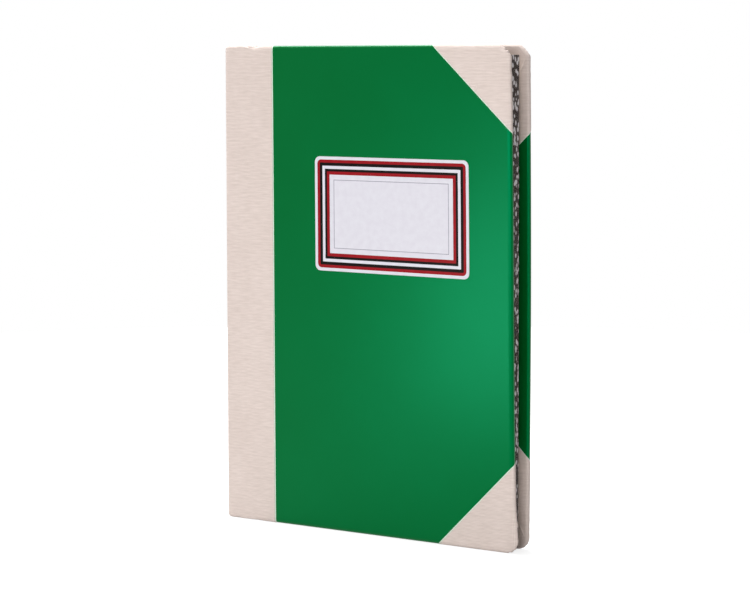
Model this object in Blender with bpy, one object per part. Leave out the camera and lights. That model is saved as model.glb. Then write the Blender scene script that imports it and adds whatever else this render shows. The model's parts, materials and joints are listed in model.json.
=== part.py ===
"""A half-cloth hardcover notebook, closed and standing on its tail edge.

The spine lies at -X, the fore-edge at +X, the front cover faces -Y and +Z is up.
The case is two boards and a spine card in cloth and paper. The book block is sewn in
sections, whose glued backs stay with the spine while their leaves swing with the front
cover. Lengths are in metres.
"""

import math

import bmesh
import bpy

MM = 0.001

# Paper of the book block
PAGE_WIDTH = 147.0 * MM            # an A5 sheet, folded and trimmed at the fore-edge
PAGE_HEIGHT = 210.0 * MM
LEAF_THICKNESS = 0.09 * MM
LEAVES_PER_SECTION = 8
SECTION_COUNT = 12
ENDPAPER_THICKNESS = 0.12 * MM

# Case: boards, spine card and coverings
SQUARE = 3.0 * MM                  # how far the boards stand past the pages
BOARD_THICKNESS = 2.0 * MM
BOARD_CORNER_RADIUS = 4.5 * MM
CLOTH_THICKNESS = 0.30 * MM
COVER_PAPER_THICKNESS = 0.20 * MM
TURN_IN = 15.0 * MM
SPINE_CARD_THICKNESS = 0.80 * MM
SPINE_SHOULDER_RADIUS = 5.0 * MM
SPINE_SHOULDER_DROP = 0.30 * MM    # the spine's sides lie this much below the boards' faces
SPINE_SIDE_WIDTH = 8.5 * MM        # from the back of the spine to the crease on each side
JOINT_WIDTH = 9.5 * MM             # from that crease to the board
HINGE_FROM_CREASE = 0.5 * MM
GROOVE_DEPTH = 0.80 * MM
CLOTH_STRIP_WIDTH = 28.4 * MM      # from the back of the spine to the green paper
CORNER_LEG = 37.0 * MM

# Front label
LABEL_WIDTH = 81.0 * MM
LABEL_HEIGHT = 51.0 * MM
LABEL_THICKNESS = 0.12 * MM
LABEL_RADIUS = 2.3 * MM
LABEL_BELOW_HEAD = 48.8 * MM

# Spine linings, bands and sewing
MULL_THICKNESS = 0.15 * MM
MULL_FLAP_WIDTH = 25.0 * MM
MULL_FROM_ENDS = 15.0 * MM
LINING_THICKNESS = 0.15 * MM
LINING_FROM_ENDS = 2.0 * MM
LINING_FROM_SIDES = 0.6 * MM
THREAD_DIAMETER = 0.40 * MM
THREAD_ROWS = 5
THREAD_SIDES = 8
BAND_BEAD = 1.5 * MM
BAND_DEPTH = 0.9 * MM
BAND_TONGUE = 10.0 * MM

# Clearances
SECTION_GAP = 0.06 * MM            # air between sections
GLUE_LINE = 0.05 * MM              # between glued layers
SEAM = 0.10 * MM                   # where two coverings meet edge to edge
LEAF_CLEARANCE = 0.10 * MM         # between flyleaf and pastedown, and along the hinge line
HOLLOW_GAP = 0.30 * MM             # least gap between the lined block and the hollow spine
HINGE_STANDOFF = 0.10 * MM         # hinge line outside the cover's face
PAST_CUT = 1.0 * MM                # how far a cutter runs past what it cuts
ARC_STEPS = 6

# Layers out from the middle plane of the book, the same on both sides
SECTION_THICKNESS = LEAVES_PER_SECTION * LEAF_THICKNESS
SECTION_PITCH = SECTION_THICKNESS + SECTION_GAP
Y_SECTIONS = (SECTION_COUNT * SECTION_PITCH - SECTION_GAP) / 2
Y_LINING = Y_SECTIONS - LINING_FROM_SIDES
Y_MULL_IN = Y_SECTIONS + GLUE_LINE
Y_MULL_OUT = Y_MULL_IN + MULL_THICKNESS
Y_FLYLEAF_IN = Y_SECTIONS + SECTION_GAP
Y_FLYLEAF_OUT = Y_FLYLEAF_IN + ENDPAPER_THICKNESS
Y_PASTE_IN = max(Y_FLYLEAF_OUT + LEAF_CLEARANCE, Y_MULL_OUT + GLUE_LINE)
Y_PASTE_OUT = Y_PASTE_IN + ENDPAPER_THICKNESS
Y_TURN_IN = Y_PASTE_OUT + GLUE_LINE
TURN_IN_DEPTH = max(CLOTH_THICKNESS, COVER_PAPER_THICKNESS, MULL_THICKNESS)
Y_BOARD_IN = Y_TURN_IN + TURN_IN_DEPTH + GLUE_LINE
Y_BOARD_OUT = Y_BOARD_IN + BOARD_THICKNESS
Y_CLOTH_OUT = Y_BOARD_OUT + GLUE_LINE + CLOTH_THICKNESS
Y_PAPER_OUT = Y_BOARD_OUT + GLUE_LINE + COVER_PAPER_THICKNESS
Y_SPINE_OUT = Y_CLOTH_OUT - SPINE_SHOULDER_DROP
Y_LABEL_IN = Y_PAPER_OUT + GLUE_LINE
Y_LABEL_OUT = Y_LABEL_IN + LABEL_THICKNESS
Y_HINGE = max(Y_CLOTH_OUT, Y_LABEL_OUT) + HINGE_STANDOFF

# Layers from the block's back at x = 0 out to the spine, then places towards the fore-edge
X_MULL_IN = -(THREAD_DIAMETER + 2 * GLUE_LINE)
X_MULL_OUT = X_MULL_IN - MULL_THICKNESS
X_LINING_IN = X_MULL_OUT - GLUE_LINE
X_LINING_OUT = X_LINING_IN - LINING_THICKNESS
SPINE_LAYERS = 2 * (CLOTH_THICKNESS + GLUE_LINE) + SPINE_CARD_THICKNESS


def spine_back(corner_x, corner_y):
    """Where the spine's back must be for its rounded inside to clear a corner of the block."""
    rise = max(0.0, corner_y - (Y_SPINE_OUT - SPINE_SHOULDER_RADIUS))
    inner_radius = SPINE_SHOULDER_RADIUS - SPINE_LAYERS - HOLLOW_GAP
    return corner_x + math.sqrt(inner_radius ** 2 - rise ** 2) - SPINE_SHOULDER_RADIUS


X_SPINE_OUT = min(spine_back(X_MULL_OUT, Y_MULL_OUT), spine_back(X_LINING_OUT, Y_LINING))
X_CREASE = X_SPINE_OUT + SPINE_SIDE_WIDTH
X_BOARD_START = X_CREASE + JOINT_WIDTH
X_HINGE = X_CREASE + HINGE_FROM_CREASE
X_FOLDS_END = X_HINGE - LEAF_CLEARANCE
X_LEAF_START = X_HINGE + LEAF_CLEARANCE
X_CLOTH_EDGE = X_SPINE_OUT + CLOTH_STRIP_WIDTH
X_FORE_EDGE = PAGE_WIDTH + SQUARE
X_BOARD_END = X_FORE_EDGE - CLOTH_THICKNESS - GLUE_LINE
X_SHIFT = -(X_SPINE_OUT + X_FORE_EDGE) / 2

# Heights above the tail edge of the case
COVER_HEIGHT = PAGE_HEIGHT + 2 * SQUARE
Z_PAGE_TAIL = SQUARE
Z_PAGE_HEAD = SQUARE + PAGE_HEIGHT
Z_BOARD_TAIL = CLOTH_THICKNESS + GLUE_LINE
Z_BOARD_HEAD = COVER_HEIGHT - Z_BOARD_TAIL
Z_MULL_TAIL = Z_PAGE_TAIL + MULL_FROM_ENDS
Z_MULL_HEAD = Z_PAGE_HEAD - MULL_FROM_ENDS

FRONT = -1
BACK = 1


def clear_scene():
    for old in list(bpy.data.objects):
        bpy.data.objects.remove(old, do_unlink=True)


def make_material(name, colour, roughness):
    material = bpy.data.materials.new(name)
    material.use_nodes = True
    shader = material.node_tree.nodes["Principled BSDF"]
    shader.inputs["Base Color"].default_value = (*colour, 1.0)
    shader.inputs["Roughness"].default_value = roughness
    shader.inputs["Metallic"].default_value = 0.0
    return material


def make_empty(name, x, y):
    empty = bpy.data.objects.new(name, None)
    empty.location = (x + X_SHIFT, y, 0.0)
    bpy.context.collection.objects.link(empty)
    return empty


def extrude(outline, low, high, along):
    """Close an outline into a solid between two levels of one axis.

    Along Z the outline is read as (x, y), and along Y as (x, z).
    """
    mesh = bmesh.new()

    def ring(level):
        if along == "Z":
            return [mesh.verts.new((u, v, level)) for u, v in outline]
        return [mesh.verts.new((u, level, v)) for u, v in outline]

    first = ring(low)
    last = ring(high)
    mesh.faces.new(first)
    mesh.faces.new(last)
    for i in range(len(outline)):
        j = (i + 1) % len(outline)
        mesh.faces.new((first[i], first[j], last[j], last[i]))
    bmesh.ops.recalc_face_normals(mesh, faces=mesh.faces)
    return mesh


def rectangle(low_u, high_u, low_v, high_v):
    return [(low_u, low_v), (high_u, low_v), (high_u, high_v), (low_u, high_v)]


def arc(centre_u, centre_v, radius, start_deg, end_deg):
    points = []
    for i in range(ARC_STEPS + 1):
        angle = math.radians(start_deg + (end_deg - start_deg) * i / ARC_STEPS)
        points.append((centre_u + radius * math.cos(angle), centre_v + radius * math.sin(angle)))
    return points


def add_object(name, mesh, carrier=None):
    """Make an object of a mesh built in book coordinates, with its origin on its carrier."""
    origin = carrier.location if carrier else (0.0, 0.0, 0.0)
    for vert in mesh.verts:
        vert.co.x += X_SHIFT - origin[0]
        vert.co.y -= origin[1]
    data = bpy.data.meshes.new(name)
    mesh.to_mesh(data)
    mesh.free()
    made = bpy.data.objects.new(name, data)
    made.parent = carrier
    bpy.context.collection.objects.link(made)
    return made


def add_piece(name, mesh, material, carrier):
    piece = add_object(name, mesh, carrier)
    piece.data.materials.append(material)
    return piece


def apply_cutter(piece, mesh, operation):
    cutter = add_object(f"{piece.name}_cutter_{len(piece.modifiers)}", mesh)
    cutter.hide_render = True
    cutter.display_type = "WIRE"
    modifier = piece.modifiers.new(operation.lower(), "BOOLEAN")
    modifier.object = cutter
    modifier.operation = operation
    modifier.solver = "EXACT"


def cover_outline(start, end, tail, head, radius):
    """A board's outline, square at the spine and rounded at the two fore-edge corners."""
    low_corner = arc(end - radius, tail + radius, radius, -90, 0)
    high_corner = arc(end - radius, head - radius, radius, 0, 90)
    return [(start, tail)] + low_corner + high_corner + [(start, head)]


def board_slab(side, start, grow, inner, outer):
    """A slab of the board's outline, grown outwards, between two layers of one side."""
    outline = cover_outline(start, X_BOARD_END + grow, Z_BOARD_TAIL - grow, Z_BOARD_HEAD + grow,
                            BOARD_CORNER_RADIUS + grow)
    return extrude(outline, side * inner, side * outer, "Y")


def add_covering(name, side, thickness, zone, material, carrier):
    """Cloth or paper on a board: its face, the edges it folds over and its turn-ins."""
    grow = GLUE_LINE + thickness
    piece = add_piece(name, board_slab(side, X_BOARD_START, grow, Y_BOARD_IN - grow, Y_BOARD_OUT + grow),
                      material, carrier)
    past_spine = X_BOARD_START - PAST_CUT
    cavity = board_slab(side, past_spine, GLUE_LINE, Y_BOARD_IN - GLUE_LINE, Y_BOARD_OUT + GLUE_LINE)
    apply_cutter(piece, cavity, "DIFFERENCE")
    window = rectangle(past_spine, X_FORE_EDGE - TURN_IN, TURN_IN, COVER_HEIGHT - TURN_IN)
    middle = (Y_BOARD_IN + Y_BOARD_OUT) / 2
    apply_cutter(piece, extrude(window, 0.0, side * middle, "Y"), "DIFFERENCE")
    apply_cutter(piece, extrude(zone, 0.0, side * (Y_HINGE + PAST_CUT), "Y"), "INTERSECT")


def corner_zone(head):
    """The triangle of a cloth corner, run out past the board's edges."""
    reach = CORNER_LEG + PAST_CUT
    level = COVER_HEIGHT + PAST_CUT if head else -PAST_CUT
    inward = -1 if head else 1
    edge = X_FORE_EDGE + PAST_CUT
    return [(edge - reach - PAST_CUT, level), (edge, level), (edge, level + inward * (reach + PAST_CUT))]


def paper_zone():
    """The green side: from the cloth strip to the fore-edge, less the two corners."""
    cut = CORNER_LEG + 2 * PAST_CUT + SEAM * math.sqrt(2)
    start = X_CLOTH_EDGE + SEAM
    edge = X_FORE_EDGE + PAST_CUT
    tail = -PAST_CUT
    head = COVER_HEIGHT + PAST_CUT
    return [(start, tail), (edge - cut, tail), (edge, tail + cut), (edge, head - cut),
            (edge - cut, head), (start, head)]


def cloth_zone():
    return rectangle(X_BOARD_START - PAST_CUT, X_CLOTH_EDGE, -PAST_CUT, COVER_HEIGHT + PAST_CUT)


def spine_profile(back, half_width, end, radius):
    """The outline of the spine seen from the head, from its front end round to its back end."""
    front_turn = arc(back + radius, radius - half_width, radius, 270, 180)
    back_turn = arc(back + radius, half_width - radius, radius, 180, 90)
    return [(end, -half_width)] + front_turn + back_turn + [(end, half_width)]


def spine_shell(inset, thickness, end):
    """A layer of the spine, from a depth below its outer face and of one thickness."""
    outside = spine_profile(X_SPINE_OUT + inset, Y_SPINE_OUT - inset, end, SPINE_SHOULDER_RADIUS - inset)
    deep = inset + thickness
    inside = spine_profile(X_SPINE_OUT + deep, Y_SPINE_OUT - deep, end, SPINE_SHOULDER_RADIUS - deep)
    return outside + inside[::-1]


def add_case_spine(cloth, card, carrier):
    card_inset = CLOTH_THICKNESS + GLUE_LINE
    inlay = spine_shell(card_inset, SPINE_CARD_THICKNESS, X_CREASE)
    add_piece("spine_inlay", extrude(inlay, Z_BOARD_TAIL, Z_BOARD_HEAD, "Z"), card, carrier)
    wrapped = extrude(spine_shell(0.0, SPINE_LAYERS, X_CREASE), 0.0, COVER_HEIGHT, "Z")
    spine_cloth = add_piece("spine_cloth", wrapped, cloth, carrier)
    past_end = X_CREASE + PAST_CUT
    room = spine_shell(CLOTH_THICKNESS, SPINE_CARD_THICKNESS + 2 * GLUE_LINE, past_end)
    room_solid = extrude(room, CLOTH_THICKNESS, COVER_HEIGHT - CLOTH_THICKNESS, "Z")
    apply_cutter(spine_cloth, room_solid, "DIFFERENCE")
    below_card = CLOTH_THICKNESS + GLUE_LINE + SPINE_CARD_THICKNESS / 2
    inside = spine_profile(X_SPINE_OUT + below_card, Y_SPINE_OUT - below_card, past_end,
                           SPINE_SHOULDER_RADIUS - below_card)
    apply_cutter(spine_cloth, extrude(inside, TURN_IN, COVER_HEIGHT - TURN_IN, "Z"), "DIFFERENCE")


def joint_section(side):
    """The cloth of a joint seen from the head: a shallow groove between crease and board."""
    start = X_CREASE + SEAM
    end = X_BOARD_START - SEAM
    outer = []
    inner = []
    for i in range(2 * ARC_STEPS + 1):
        share = i / (2 * ARC_STEPS)
        level = Y_SPINE_OUT + (Y_CLOTH_OUT - Y_SPINE_OUT) * share
        level -= GROOVE_DEPTH * math.sin(math.pi * share) ** 2
        outer.append((start + (end - start) * share, side * level))
        inner.append((start + (end - start) * share, side * (level - CLOTH_THICKNESS)))
    return outer + inner[::-1]


def add_cover(word, side, finishes, carrier):
    """One cover: its board, coverings, gauze and pastedown, all swinging on one hinge line."""
    cloth, paper, greyboard, endpaper, gauze = finishes
    board = board_slab(side, X_BOARD_START, 0.0, Y_BOARD_IN, Y_BOARD_OUT)
    add_piece(f"{word}_board", board, greyboard, carrier)
    add_covering(f"{word}_cloth", side, CLOTH_THICKNESS, cloth_zone(), cloth, carrier)
    add_covering(f"{word}_corner_head", side, CLOTH_THICKNESS, corner_zone(True), cloth, carrier)
    add_covering(f"{word}_corner_tail", side, CLOTH_THICKNESS, corner_zone(False), cloth, carrier)
    add_covering(f"{word}_paper", side, COVER_PAPER_THICKNESS, paper_zone(), paper, carrier)
    flap = rectangle(X_BOARD_START, X_BOARD_START + MULL_FLAP_WIDTH, Z_MULL_TAIL, Z_MULL_HEAD)
    flap_out = Y_BOARD_IN - GLUE_LINE
    add_piece(f"{word}_mull_flap", extrude(flap, side * (flap_out - MULL_THICKNESS), side * flap_out, "Y"),
              gauze, carrier)
    paste = rectangle(X_BOARD_START, PAGE_WIDTH, Z_PAGE_TAIL, Z_PAGE_HEAD)
    add_piece(f"{word}_pastedown", extrude(paste, side * Y_PASTE_IN, side * Y_PASTE_OUT, "Y"),
              endpaper, carrier)


def add_label(material, carrier):
    middle = (X_CLOTH_EDGE + X_FORE_EDGE) / 2
    low_x = middle - LABEL_WIDTH / 2
    high_x = middle + LABEL_WIDTH / 2
    high_z = COVER_HEIGHT - LABEL_BELOW_HEAD
    low_z = high_z - LABEL_HEIGHT
    r = LABEL_RADIUS
    outline = arc(low_x + r, low_z + r, r, 180, 270)
    outline += arc(high_x - r, low_z + r, r, 270, 360)
    outline += arc(high_x - r, high_z - r, r, 0, 90)
    outline += arc(low_x + r, high_z - r, r, 90, 180)
    add_piece("label", extrude(outline, FRONT * Y_LABEL_IN, FRONT * Y_LABEL_OUT, "Y"), material, carrier)


def add_joint(word, side, cloth, endpaper, carrier):
    """What bends at a hinge line: the groove's cloth outside and the endpaper inside."""
    add_piece(f"{word}_joint_cloth", extrude(joint_section(side), 0.0, COVER_HEIGHT, "Z"), cloth, carrier)
    strip = rectangle(GLUE_LINE, X_BOARD_START - SEAM, Z_PAGE_TAIL, Z_PAGE_HEAD)
    add_piece(f"{word}_endpaper_hinge", extrude(strip, side * Y_PASTE_IN, side * Y_PASTE_OUT, "Y"),
              endpaper, carrier)


def add_flyleaf(word, side, endpaper, carrier):
    leaf = rectangle(X_LEAF_START, PAGE_WIDTH, Z_PAGE_TAIL, Z_PAGE_HEAD)
    add_piece(f"{word}_flyleaf", extrude(leaf, side * Y_FLYLEAF_IN, side * Y_FLYLEAF_OUT, "Y"),
              endpaper, carrier)


def add_sections(ruled_paper, carrier):
    leaf = rectangle(X_LEAF_START, PAGE_WIDTH, Z_PAGE_TAIL, Z_PAGE_HEAD)
    for i in range(SECTION_COUNT):
        low = i * SECTION_PITCH - Y_SECTIONS
        add_piece(f"section_{i + 1:02d}", extrude(leaf, low, low + SECTION_THICKNESS, "Y"),
                  ruled_paper, carrier)


def add_sewn_backs(ruled_paper, thread, carrier):
    """The sections' glued folds and the rows of link stitches that join them."""
    folds = rectangle(0.0, X_FOLDS_END, Z_PAGE_TAIL, Z_PAGE_HEAD)
    add_piece("sewn_folds", extrude(folds, -Y_SECTIONS, Y_SECTIONS, "Y"), ruled_paper, carrier)
    radius = THREAD_DIAMETER / 2
    reach = Y_SECTIONS - SECTION_THICKNESS / 2
    for row in range(THREAD_ROWS):
        height = Z_MULL_TAIL + (Z_MULL_HEAD - Z_MULL_TAIL) * (row + 0.5) / THREAD_ROWS
        outline = []
        for i in range(THREAD_SIDES):
            angle = 2 * math.pi * i / THREAD_SIDES
            outline.append((radius * math.cos(angle) - radius - GLUE_LINE, height + radius * math.sin(angle)))
        add_piece(f"sewing_thread_{row + 1}", extrude(outline, -reach, reach, "Y"), thread, carrier)


def add_spine_linings(gauze, kraft, carrier):
    """Gauze folded round the back of the block, and the paper lining over it."""
    folded = [(X_FOLDS_END, -Y_MULL_OUT), (X_MULL_OUT, -Y_MULL_OUT), (X_MULL_OUT, Y_MULL_OUT),
              (X_FOLDS_END, Y_MULL_OUT), (X_FOLDS_END, Y_MULL_IN), (X_MULL_IN, Y_MULL_IN),
              (X_MULL_IN, -Y_MULL_IN), (X_FOLDS_END, -Y_MULL_IN)]
    add_piece("mull", extrude(folded, Z_MULL_TAIL, Z_MULL_HEAD, "Z"), gauze, carrier)
    lining = rectangle(X_LINING_OUT, X_LINING_IN, -Y_LINING, Y_LINING)
    lining_tail = Z_PAGE_TAIL + LINING_FROM_ENDS
    lining_head = Z_PAGE_HEAD - LINING_FROM_ENDS
    add_piece("spine_lining", extrude(lining, lining_tail, lining_head, "Z"), kraft, carrier)


def add_band(name, page_end, outward, material, carrier):
    """A band at one end of the block: a bead over the folds and a tongue down their backs."""
    bead_in = page_end + outward * GLUE_LINE
    bead_out = bead_in + outward * BAND_BEAD
    tongue_end = page_end - outward * BAND_TONGUE
    tongue_out = -(GLUE_LINE + THREAD_DIAMETER)
    profile = [(-GLUE_LINE, tongue_end), (tongue_out, tongue_end), (tongue_out, bead_out),
               (BAND_DEPTH, bead_out), (BAND_DEPTH, bead_in), (-GLUE_LINE, bead_in)]
    add_piece(name, extrude(profile, -Y_SECTIONS, Y_SECTIONS, "Y"), material, carrier)


def build():
    clear_scene()
    cloth = make_material("beige_book_cloth", (0.70, 0.61, 0.54), 0.85)
    green_paper = make_material("green_covering_paper", (0.0, 0.18, 0.06), 0.45)
    greyboard = make_material("greyboard", (0.35, 0.33, 0.30), 0.90)
    endpaper = make_material("white_endpaper", (0.80, 0.79, 0.75), 0.85)
    ruled_paper = make_material("ruled_paper", (0.83, 0.83, 0.80), 0.85)
    label_paper = make_material("coated_label_paper", (0.76, 0.75, 0.79), 0.40)
    gauze = make_material("cotton_gauze", (0.75, 0.73, 0.66), 0.95)
    thread = make_material("linen_thread", (0.80, 0.76, 0.66), 0.80)
    kraft = make_material("kraft_paper", (0.42, 0.28, 0.15), 0.85)
    band_cotton = make_material("cotton_band", (0.80, 0.78, 0.72), 0.85)

    block = make_empty("book_block", 0.0, 0.0)
    front_hinge = make_empty("front_hinge_line", X_HINGE, FRONT * Y_HINGE)
    back_hinge = make_empty("back_hinge_line", X_HINGE, BACK * Y_HINGE)

    finishes = (cloth, green_paper, greyboard, endpaper, gauze)
    add_case_spine(cloth, greyboard, block)
    for word, side, hinge in (("front", FRONT, front_hinge), ("back", BACK, back_hinge)):
        add_cover(word, side, finishes, hinge)
        add_joint(word, side, cloth, endpaper, block)
        add_flyleaf(word, side, endpaper, hinge)
    add_label(label_paper, front_hinge)
    add_sections(ruled_paper, front_hinge)
    add_sewn_backs(ruled_paper, thread, block)
    add_spine_linings(gauze, kraft, block)
    add_band("head_band", Z_PAGE_HEAD, 1, band_cotton, block)
    add_band("tail_band", Z_PAGE_TAIL, -1, band_cotton, block)
    print(f"hinge lines at x {X_HINGE + X_SHIFT:.6f}, y -/+{Y_HINGE:.6f}")
    print(f"case {X_FORE_EDGE - X_SPINE_OUT:.6f} wide, {2 * Y_CLOTH_OUT:.6f} thick, {COVER_HEIGHT:.6f} tall")


build()
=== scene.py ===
# %% [markdown]
# # Dressing a half-cloth notebook
# The frame holds a case-bound notebook as working parts: two boards on cloth joints, a hollow
# spine, and twelve sewn sections between endpapers. It already has the right sizes and hinges.
# This lesson gives it the look of the real thing: wrapped edges, woven cloth, satin paper, a
# printed label and marbled page edges. All lengths are metres in the frame's own coordinates.

# %% Load the frame
import json
import math
import random

import bmesh
import bpy
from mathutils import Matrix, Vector


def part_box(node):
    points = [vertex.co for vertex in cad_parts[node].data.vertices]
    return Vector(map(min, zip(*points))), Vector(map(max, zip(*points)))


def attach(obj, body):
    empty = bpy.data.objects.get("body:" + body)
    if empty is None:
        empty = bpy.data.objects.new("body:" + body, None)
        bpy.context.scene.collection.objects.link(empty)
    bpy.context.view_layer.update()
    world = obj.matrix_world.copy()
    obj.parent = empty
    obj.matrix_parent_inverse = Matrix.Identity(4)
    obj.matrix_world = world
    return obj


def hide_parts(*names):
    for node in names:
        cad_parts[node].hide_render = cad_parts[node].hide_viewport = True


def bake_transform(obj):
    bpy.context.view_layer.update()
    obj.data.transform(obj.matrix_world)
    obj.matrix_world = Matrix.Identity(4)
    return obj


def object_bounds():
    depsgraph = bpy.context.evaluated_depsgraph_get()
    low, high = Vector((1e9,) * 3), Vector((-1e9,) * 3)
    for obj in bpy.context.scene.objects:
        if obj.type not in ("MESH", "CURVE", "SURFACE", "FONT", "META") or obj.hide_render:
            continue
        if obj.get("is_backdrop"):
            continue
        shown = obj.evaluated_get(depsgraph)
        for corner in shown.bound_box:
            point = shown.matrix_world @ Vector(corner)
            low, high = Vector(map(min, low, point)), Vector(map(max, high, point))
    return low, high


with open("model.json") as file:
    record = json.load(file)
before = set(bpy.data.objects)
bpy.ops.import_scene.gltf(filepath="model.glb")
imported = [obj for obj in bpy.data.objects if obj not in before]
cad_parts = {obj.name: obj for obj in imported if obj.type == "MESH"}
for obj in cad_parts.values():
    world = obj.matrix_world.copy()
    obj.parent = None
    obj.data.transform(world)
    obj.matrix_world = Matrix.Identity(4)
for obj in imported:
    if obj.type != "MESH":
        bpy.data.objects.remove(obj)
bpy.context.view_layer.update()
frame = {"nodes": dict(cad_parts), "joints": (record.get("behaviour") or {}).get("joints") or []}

MM = 0.001
FRONT = -1
BACK = 1
SIDES = (("front", FRONT), ("back", BACK))

# %% [markdown]
# A binder works from a few levels: where the spine ends, where the board starts, how deep each
# layer lies. They could be typed in again, but then a changed frame would leave the looks
# behind. So they are read from the boxes of the CAD nodes. The back side has positive Y, which
# makes its levels easy to read, and the front side is its mirror image.

# %% Read the book's levels from the frame
def span(node, axis):
    """The lowest and highest level of a CAD node along one axis."""
    low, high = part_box(node)
    return low["XYZ".index(axis)], high["XYZ".index(axis)]


X_SPINE, X_CREASE = span("spine_cloth", "X")
Y_SPINE = span("spine_cloth", "Y")[1]
Z_TAIL, Z_HEAD = span("spine_cloth", "Z")
X_BOARD, X_STRIP = span("back_cloth", "X")
Y_CLOTH_IN, Y_CLOTH_OUT = span("back_cloth", "Y")
X_CORNER, X_FORE = span("back_corner_head", "X")
X_PAPER, X_PAPER_FORE = span("back_paper", "X")
Y_PAPER_IN, Y_PAPER_OUT = span("back_paper", "Y")
Z_PAPER_TAIL, Z_PAPER_HEAD = span("back_paper", "Z")
X_PAGE_FORE = span("section_01", "X")[1]
Z_PAGE_TAIL, Z_PAGE_HEAD = span("section_01", "Z")
X_FOLD, X_FOLDS_END = span("sewn_folds", "X")
Y_FLYLEAF_IN, Y_FLYLEAF_OUT = span("back_flyleaf", "Y")
Y_PASTE_IN, Y_PASTE_OUT = span("back_pastedown", "Y")
Y_BOARD_IN, Y_BOARD_OUT = span("back_board", "Y")
X_HINGE = frame["joints"][0]["pos_m"][0]
CORNER_LEG = X_FORE - X_CORNER
Z_MIDDLE = (Z_TAIL + Z_HEAD) / 2
print(f"board from {X_BOARD / MM:.1f}, strip to {X_STRIP / MM:.1f}, corner leg {CORNER_LEG / MM:.1f} mm")

# %% [markdown]
# ## Finishes
# A finish starts from the real material and how its surface was made. Colours are written as
# the sRGB hex values that a paint program shows, and one function turns them to the linear
# values that the renderer works in. One other small function adds a node, sets its options or
# sockets and links it, so each finish reads as a short recipe. Soft clouds of one size come up in
# all the papers, so they are a recipe of their own.

# %% Helpers for finishes
def linear(hex_colour):
    """Linear red, green, blue and alpha of an sRGB hex colour."""
    channels = [int(hex_colour[i:i + 2], 16) / 255 for i in (1, 3, 5)]
    return (*[c / 12.92 if c <= 0.04045 else ((c + 0.055) / 1.055) ** 2.4 for c in channels], 1.0)


def node(tree, kind, settings=None, links=None):
    """Add a node. Settings name its options or its input sockets; links name sockets to feed."""
    made = tree.nodes.new(kind)
    for key, value in (settings or {}).items():
        if isinstance(key, str) and hasattr(made, key):
            setattr(made, key, value)
        else:
            made.inputs[key].default_value = value
    for key, output in (links or {}).items():
        tree.links.new(output, made.inputs[key])
    return made


def start_finish(name, settings):
    """A new material with its Principled shader set, and the tree to build its pattern in."""
    material = bpy.data.materials.new(name)
    material.use_nodes = True
    shader = material.node_tree.nodes["Principled BSDF"]
    for key, value in settings.items():
        shader.inputs[key].default_value = value
    return material, material.node_tree, shader


def set_ramp(ramp, stops):
    """Give a colour ramp its stops, as pairs of place and hex colour."""
    elements = ramp.color_ramp.elements
    while len(elements) < len(stops):
        elements.new(0.5)
    for element, (place, colour) in zip(elements, stops):
        element.position = place
        element.color = linear(colour)


def per_metre(size):
    """The texture scale at which one cell of a noise or cell pattern has that size."""
    return 1 / size


def bands_per_metre(spacing):
    """The scale at which a wave texture's bands lie that far apart."""
    return 2 * math.pi / 20 / spacing


def clouded(tree, size, detail, stops):
    """The colour of a sheet that is clouded in the tones of a ramp, by clouds of one size."""
    lay = node(tree, "ShaderNodeAttribute", {"attribute_name": "lay"})
    clouds = node(tree, "ShaderNodeTexNoise", {"Scale": per_metre(size), "Detail": detail},
                  {"Vector": lay.outputs["Vector"]})
    tones = node(tree, "ShaderNodeValToRGB", None, {"Fac": clouds.outputs["Fac"]})
    set_ramp(tones, stops)
    return tones.outputs["Color"]


print("helpers for finishes ready")

# %% [markdown]
# **Book cloth** is plain-woven cotton and linen, filled with starch so that glue can't come
# through, and left undyed. The eye gets a matt, warm off-white with fine crosswise threads,
# and here and there a slub, where a thread was spun thick. The pattern could be laid on by
# object coordinates, but cloth wraps round edges and bends at the joints. So each point keeps
# the place where it lay on the flat sheet, in an attribute named lay, and the weave follows that.

# %% Woven book cloth
WEFT_SPACING = 0.60 * MM
WARP_SPACING = 0.55 * MM
SLUB_THICKNESS = 0.8 * MM    # a slub is finer than this, drawn coarser so that it shows
SLUB_LENGTH = 6 * MM
MOTTLE_SIZE = 26 * MM

book_cloth, tree, shader = start_finish("woven_book_cloth", {"Roughness": 0.86, "IOR": 1.45,
                                                             "Specular IOR Level": 0.25})
lay = node(tree, "ShaderNodeAttribute", {"attribute_name": "lay"})
weft, warp = [node(tree, "ShaderNodeTexWave", {
    "bands_direction": way, "Scale": bands_per_metre(spacing), "Distortion": 2.5, "Detail": 2.0,
    "Detail Scale": 0.6}, {"Vector": lay.outputs["Vector"]})
    for way, spacing in (("Y", WEFT_SPACING), ("X", WARP_SPACING))]
slub_stretch = (SLUB_THICKNESS / SLUB_LENGTH, 1, 1)
drawn_out = node(tree, "ShaderNodeVectorMath", {"operation": "MULTIPLY", 1: slub_stretch},
                 {0: lay.outputs["Vector"]})
slubs = node(tree, "ShaderNodeTexNoise", {"Scale": per_metre(SLUB_THICKNESS), "Detail": 1.5},
             {"Vector": drawn_out.outputs[0]})
mottle = node(tree, "ShaderNodeTexNoise", {"Scale": per_metre(MOTTLE_SIZE), "Detail": 3.0},
              {"Vector": lay.outputs["Vector"]})
crossing = node(tree, "ShaderNodeMath", {"operation": "ADD"},
                {0: warp.outputs["Fac"], 1: weft.outputs["Fac"]})
threads = node(tree, "ShaderNodeMath", {"operation": "MULTIPLY_ADD", 1: 2.0},
               {0: slubs.outputs["Fac"], 2: crossing.outputs[0]})
tone = node(tree, "ShaderNodeMath", {"operation": "MULTIPLY_ADD", 1: 0.8},
            {0: mottle.outputs["Fac"], 2: threads.outputs[0]})
level = node(tree, "ShaderNodeMapRange", {"From Min": 0.9, "From Max": 3.9}, {"Value": tone.outputs[0]})
cloth_tones = node(tree, "ShaderNodeValToRGB", None, {"Fac": level.outputs[0]})
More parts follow.
